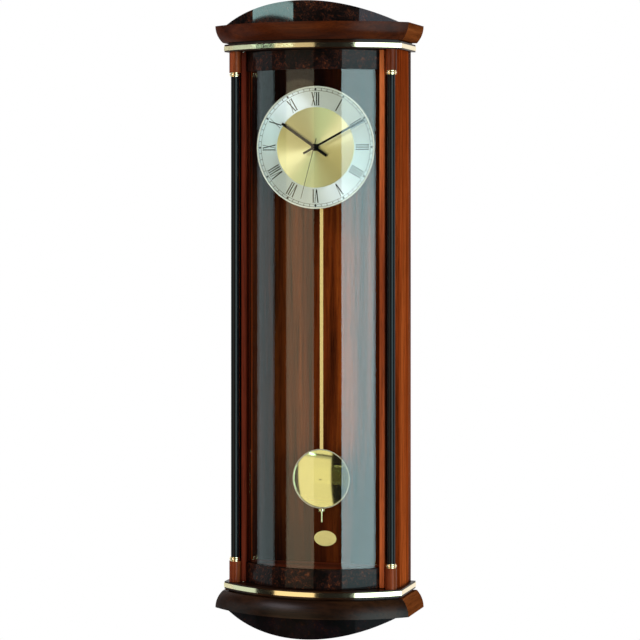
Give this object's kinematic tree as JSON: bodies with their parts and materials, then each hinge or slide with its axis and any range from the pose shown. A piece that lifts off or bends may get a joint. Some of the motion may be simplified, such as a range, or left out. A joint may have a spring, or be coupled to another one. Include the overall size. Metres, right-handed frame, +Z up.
{
  "type": "pendulum wall clock",
  "caption": "Slim wall-hung pendulum clock: bowed glass door between columns, arched crest and drop, round dial, swinging bob, battery movement and keyhole hanger.",
  "frame": {"origin": "centre of the round hole in the hanger plate, on the wall plane at the clock's back", "axes": "+Z up, +X to the viewer's right, -Y out of the wall towards the viewer"},
  "size_m": [0.23, 0.1167, 0.72],
  "materials": {
    "walnut": "satin lacquer",
    "dark_walnut": "satin lacquer",
    "burl": "gloss lacquer",
    "black_lacquer": "gloss lacquer",
    "polished_brass": "polished",
    "brushed_gold": "brushed",
    "silvered_dial": "satin",
    "bright_steel": "polished",
    "plated_steel": "satin",
    "black_hand": "gloss paint",
    "black_plastic": "matt",
    "white_plastic": "matt",
    "board_green": "satin",
    "copper_wire": "enamelled",
    "cell_wrap": "gloss print-free sleeve",
    "clear_glass": "polished"
  },
  "bodies": {
    "case": {"back_panel": "dark_walnut", "side_left": "walnut", "side_right": "walnut", "top_board": "dark_walnut", "bottom_board": "dark_walnut", "inner_boards": "walnut", "upper_cornice": "walnut", "lower_cornice": "walnut", "cornice_returns": "walnut", "cornice_cores": "dark_walnut", "upper_brass_strip": "polished_brass", "lower_brass_strip": "polished_brass", "crest_panel": "burl", "drop_panel": "burl", "columns": "black_lacquer", "column_blocks": "walnut", "column_collars": "polished_brass", "door_jambs": "walnut", "pivot_bushes": "polished_brass", "magnet_catch": "plated_steel", "hanger_plate": "plated_steel", "case_screws": "plated_steel", "badge_plate": "polished_brass", "movement_bracket": "plated_steel", "dial_plate": "silvered_dial", "dial_disc": "brushed_gold", "dial_rim": "silvered_dial", "dial_nut": "polished_brass", "movement_case": "black_plastic", "movement_cover": "black_plastic", "battery": "cell_wrap", "battery_contacts": "plated_steel", "motor_coil": "copper_wire", "motor_stator": "plated_steel", "circuit_board": "board_green", "pendulum_coil": "copper_wire"},
    "door": {"door_stile_left": "walnut", "door_stile_right": "walnut", "door_top_rail": "burl", "door_bottom_rail": "burl", "door_glass": "clear_glass", "door_hardware": "plated_steel"},
    "pendulum": {"pendulum_rocker": "white_plastic", "rocker_magnet": "plated_steel", "pendulum_rod": "polished_brass"},
    "bob": {"bob_face": "brushed_gold", "bob_rim": "bright_steel"},
    "nut": {"rating_nut": "polished_brass"},
    "minute": {"cannon_pinion": "polished_brass", "minute_hand": "black_hand"},
    "hour": {"hour_wheel": "white_plastic", "hour_hand": "black_hand"},
    "motion": {"motion_wheel": "white_plastic"},
    "knob": {"set_knob": "black_plastic"},
    "seconds": {"seconds_wheel": "white_plastic", "second_hand": "black_hand"},
    "third": {"third_wheel": "white_plastic"},
    "centre": {"centre_wheel": "polished_brass"},
    "intermediate": {"intermediate_wheel": "white_plastic"},
    "rotor": {"motor_rotor": "plated_steel"}
  },
  "joints": [
    {"name": "door_hinge", "type": "hinge", "parent": "case", "child": "door", "pos_m": [-0.0834, -0.063, -0.25], "axis": [0, 0, -1], "range_deg": [0, 100]},
    {"name": "pendulum_swing", "type": "hinge", "parent": "case", "child": "pendulum", "pos_m": [0, -0.0297, -0.0368], "axis": [0, 1, 0], "range_deg": [-4, 4]},
    {"name": "bob_travel", "type": "slide", "parent": "pendulum", "child": "bob", "axis": [0, 0, 1], "range_m": [-0.001, 0.001]},
    {"name": "nut_turn", "type": "hinge", "parent": "bob", "child": "nut", "pos_m": [0, -0.0268, -0.47415], "axis": [0, 0, 1], "range_deg": [-730, 730]},
    {"name": "minute_spin", "type": "hinge", "parent": "case", "child": "minute", "pos_m": [0, -0.045, -0.0548], "axis": [0, 1, 0], "continuous": true},
    {"name": "hour_spin", "type": "hinge", "parent": "case", "child": "hour", "pos_m": [0, -0.045, -0.0548], "axis": [0, 1, 0], "continuous": true},
    {"name": "motion_spin", "type": "hinge", "parent": "case", "child": "motion", "pos_m": [0.00677, -0.045, -0.05726], "axis": [0, 1, 0], "continuous": true},
    {"name": "knob_spin", "type": "hinge", "parent": "case", "child": "knob", "pos_m": [0.01353, -0.045, -0.05973], "axis": [0, 1, 0], "continuous": true},
    {"name": "seconds_spin", "type": "hinge", "parent": "case", "child": "seconds", "pos_m": [0, -0.045, -0.0548], "axis": [0, 1, 0], "continuous": true},
    {"name": "third_spin", "type": "hinge", "parent": "case", "child": "third", "pos_m": [0.00425, -0.045, -0.04744], "axis": [0, 1, 0], "continuous": true},
    {"name": "centre_spin", "type": "hinge", "parent": "case", "child": "centre", "pos_m": [0, -0.045, -0.0548], "axis": [0, 1, 0], "continuous": true},
    {"name": "intermediate_spin", "type": "hinge", "parent": "case", "child": "intermediate", "pos_m": [-0.00779, -0.045, -0.0503], "axis": [0, 1, 0], "continuous": true},
    {"name": "rotor_spin", "type": "hinge", "parent": "case", "child": "rotor", "pos_m": [-0.01129, -0.045, -0.04424], "axis": [0, 1, 0], "continuous": true}
  ],
  "couplings": [
    {"joint": "hour_spin", "follows": "minute_spin", "ratio": 0.083333},
    {"joint": "motion_spin", "follows": "minute_spin", "ratio": -0.33333},
    {"joint": "knob_spin", "follows": "minute_spin", "ratio": 1},
    {"joint": "third_spin", "follows": "seconds_spin", "ratio": -0.13333},
    {"joint": "centre_spin", "follows": "seconds_spin", "ratio": 0.016667},
    {"joint": "intermediate_spin", "follows": "seconds_spin", "ratio": -5},
    {"joint": "rotor_spin", "follows": "seconds_spin", "ratio": 30},
    {"joint": "nut_turn", "follows": "bob_travel", "rad_per_m": 12566}
  ]
}
